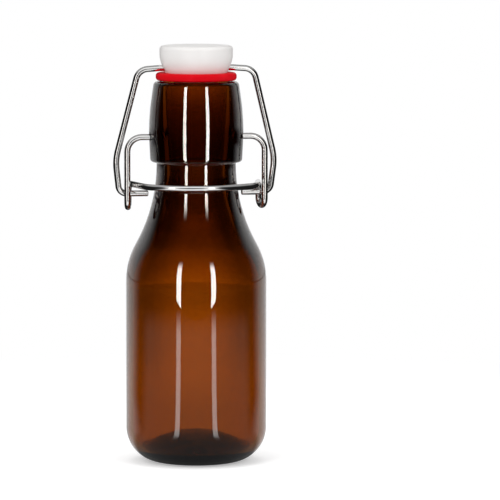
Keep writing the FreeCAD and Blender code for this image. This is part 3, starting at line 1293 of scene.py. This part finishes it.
@dataclass(frozen=True)
class Strips:
    """Two tall strip lights that show as the bright lines on glass and wire."""

    view: View
    angle: float = 28.0
    half_angle: float = 3.8
    distance: float = 0.7
    bottom: float = -0.4
    top: float = 0.55
    fade: float = 0.3
    glow: float = 3.4
    glint: float = 19.0
    colour: Colour = (1.0, 0.95, 0.91)

    def material(self) -> Material:
        """Light that only reflections meet, fading towards the strip's top.

        Returns:
            The material.
        """
        material, bench = new_material("strip_light")
        glossy, singular = bench.rays("Glossy", "Singular")
        lit = 1.0 - bench.part(bench.place(), "Z").between(self.fade, self.top)
        glow = (glossy * self.glow + singular * self.glint) * lit
        light = bench.node("ShaderNodeEmission", {}, {"Color": bench.scaled(glow, self.colour)})
        clear = bench.node("ShaderNodeBsdfTransparent")
        bench.show(Surface=bench.blend(glossy * lit, clear, light))
        return material

    def build(self) -> None:
        """Set up both strips."""
        material = self.material()
        half_width = self.distance * math.tan(math.radians(self.half_angle))
        for name, side in (("strip_left", -1), ("strip_right", 1)):
            heading = toward(self.view.azimuth + side * self.angle)
            across = Vector((-heading.y, heading.x, 0)) * half_width
            corners = upright(heading * self.distance, across, self.bottom, self.top)
            lay_sheet(name, corners, material, ("camera", "diffuse", "shadow", "transmission"))


@dataclass(frozen=True)
class Table:
    """Pale table that keeps the shadow near the object and is white to the camera further off.

    Most spans are distances from the bottle's axis. The depth is measured towards the camera, the front is a
    share of a direction, and the streak's edge is in shares of its half width.
    """

    surround: Surround
    strips: Strips
    depth: Span = (0.47, -1.6)
    half_width: float = 0.9
    colour: Colour = (0.94, 0.94, 0.94)
    lift: float = 0.4
    white: Span = (0.10, 0.30)
    edge: Span = (0.40, 0.52)
    contact_shadow: Span = (0.010, 0.027)
    shadow: Span = (0.012, 0.04)
    shadow_level: float = 0.15
    shade: Span = (0.10, 0.26)
    shade_level: float = 0.74
    wide_card: Span = (0.85, 1.1)
    heel_card: Span = (0.06, 0.22)
    heel_widening: float = 1.6
    front: Span = (-0.2, 0.2)
    haze: float = 0.3
    streak_level: float = 4.4
    streak_edge: Span = (0.7, 1.1)
    streak_start: Span = (0.04, 0.11)
    closure_height: float = 0.11

    def painted_gloss(self, bench: Bench, place: NodeSocket, far: Value) -> Value:
        """Painted reflection: haze and the strip lights' streaks on the table's front, which the glass shows
        again.

        Args:
            bench: the material's bench.
            place: the place on the table.
            far: its distance from the bottle's axis.

        Returns:
            The level.
        """
        view = self.strips.view
        front, sideways = (bench.along(place, axis) / far.highest(MM) for axis in (view.ahead, view.aside))
        angle = math.radians(self.strips.angle)
        half_width = math.radians(self.strips.half_angle) * math.cos(angle)
        off_streak = (sideways.size() - math.sin(angle)).size()
        rim = off_streak.between(*(share * half_width for share in self.streak_edge))
        streak = (1.0 - rim) * far.between(*self.streak_start)
        return front.between(*self.front) * (self.haze + self.streak_level * streak)

    def material(self) -> Material:
        """Matt and shadowed near the object, with its own level for reflections and for glass.

        Returns:
            The material.
        """
        material, bench = new_material("pale_floor")
        place = bench.place()
        camera, glossy, through, singular = bench.rays("Camera", "Glossy", "Transmission", "Singular")
        far = bench.value("ShaderNodeVectorMath", {"operation": "LENGTH"}, {0: place}, output="Value")
        on_table = 1.0 - far.between(*self.edge)

        # Glass meets the table from the base, and the wires meet it from the closure
        source = bench.node("ShaderNodeCombineXYZ", {}, {"Z": (1.0 - singular) * self.closure_height})
        heading = bench.vector("NORMALIZE", bench.vector("SUBTRACT", place, source.outputs[0]))
        widening = self.heel_widening * (1.0 - far.between(*self.heel_card))
        nearby = 1.0 - far.between(*self.wide_card) + widening
        # Painted reflection of the strip lights on the table, seen only in the glass
        painted_gloss = singular * on_table * self.painted_gloss(bench, place, far)
        mirror = self.surround.mirrored(bench, heading, singular, nearby) + painted_gloss
        shadow = far.between(*self.shadow).spread(self.shadow_level, 1.0)
        shade = far.between(*self.shade).spread(self.shade_level, 1.0)
        window = on_table.spread(self.surround.seen_through, 1.0) * shadow * shade
        # Painted contact shadow: reflections of the table darken close to the bottle's foot
        reflected = glossy * (1.0 - through) * mirror * far.between(*self.contact_shadow)

        matt = bench.node("ShaderNodeBsdfDiffuse", {}, {"Color": (*self.colour, 1.0)})
        lift = bench.node("ShaderNodeEmission", {}, {"Color": bench.scaled(camera * self.lift)})
        near = bench.node("ShaderNodeAddShader", {}, {0: matt.outputs[0], 1: lift.outputs[0]})
        level = bench.scaled(camera + reflected + through * window)
        bright = bench.node("ShaderNodeEmission", {}, {"Color": level})
        share = (camera * far.between(*self.white)).highest(glossy).highest(through)
        bench.show(Surface=bench.blend(share, near, bright))
        return material

    def build(self) -> None:
        """Lay the table's top, level with the bottle's base."""
        view = self.strips.view
        near, back = (view.ahead * depth for depth in self.depth)
        across = view.aside * self.half_width
        lay_sheet("floor", (near - across, near + across, back + across, back - across), self.material())


@dataclass(frozen=True)
class PaintedShadeSheet:
    """Painted shade behind the bottle: a sheet met only by light that comes through the glass."""

    view: View
    distance: float = 0.032
    half_width: float = 0.06
    top: float = 0.15
    neck_start: Span = (0.070, 0.087)
    inner_edge: Span = (0.0058, 0.005)
    outer_edge: Span = (0.018, 0.0135)
    body_rise: Span = (0.008, 0.045)
    body_shade: float = 0.5
    body_share_off_neck: float = 0.6
    neck_end: Span = (0.100, 0.114)
    neck_shade: float = 0.6
    middle_end: Span = (0.104, 0.122)
    middle_shade: float = 0.6

    def material(self) -> Material:
        """Painted shade: darker at the sides and behind the neck.

        Returns:
            The material.
        """
        material, bench = new_material("painted_shade_sheet")
        place = bench.place()
        across = bench.along(place, self.view.aside).size()
        height = bench.part(place, "Z")
        slim = height.between(*self.neck_start)
        inner = slim.spread(*self.inner_edge)
        edge = ((across - inner) / (slim.spread(*self.outer_edge) - inner)).clamped()
        body = (height.between(*self.body_rise) - slim * self.body_share_off_neck) * self.body_shade
        neck = slim * (1.0 - height.between(*self.neck_end)) * self.neck_shade
        middle = slim * (1.0 - height.between(*self.middle_end)) * self.middle_shade
        # Painted shade: less light comes through the glass at its sides and behind the neck
        level = (1.0 - middle) * (1.0 - edge * (body + neck))
        black = bench.node("ShaderNodeBsdfTransparent", {}, {"Color": (0.0, 0.0, 0.0, 1.0)})
        clear = bench.node("ShaderNodeBsdfTransparent")
        bench.show(Surface=bench.blend(level, black, clear))
        return material

    def build(self) -> None:
        """Hang the sheet of painted shade."""
        foot = self.view.ahead * -self.distance
        corners = upright(foot, self.view.aside * -self.half_width, 0, self.top)
        lay_sheet("painted_shade_sheet", corners, self.material(), ("camera", "diffuse", "glossy", "shadow"))


@dataclass(frozen=True)
class Lamp:
    """Soft square lamp that only matt surfaces meet."""

    name: str
    azimuth: float
    elevation: float
    power: float
    size: float = 0.7
    distance: float = 1.1

    def build(self) -> None:
        """Hang the lamp."""
        data = bpy.data.lights.new(self.name, "AREA")
        data.shape = "SQUARE"
        data.size = self.size
        data.energy = self.power
        lamp = placed(self.name, data)
        heading = toward(self.azimuth, self.elevation)
        lamp.location = heading * self.distance
        lamp.rotation_euler = heading.to_track_quat("Z", "Y").to_euler()
        lamp.visible_glossy = False
        lamp.visible_transmission = False


def build_studio() -> None:
    """Set up the camera, the surround, the table, the sheet of painted shade, the lights and the colour view.
    """
    view = View()
    surround = Surround(view)
    strips = Strips(view)
    lamps = (
        Lamp("key", azimuth=-48.0, elevation=38.0, power=3.4),
        Lamp("second", azimuth=38.0, elevation=34.0, power=2.55),
        Lamp("top", azimuth=0.0, elevation=85.0, power=2.04),
    )
    for stage in (view, surround, Table(surround, strips), PaintedShadeSheet(view), strips, *lamps):
        stage.build()
    bpy.context.scene.view_settings.view_transform = "Standard"


def main() -> None:
    """Build the bottle, its wires and its stopper, then the studio."""
    logging.basicConfig(level=logging.INFO, format="%(message)s")
    bottle = GlassBottle()
    lever = LeverWire(bottle)
    stopper = Stopper(bottle)
    bail = BailWire(lever, stopper)
    bench = WireBench(DrawnSteel().material())
    bottle.build()
    lever.build(bench)
    bail.build(bench)
    stopper.build_head()
    stopper.build_ring()
    build_studio()


if __name__ == "__main__":
    main()
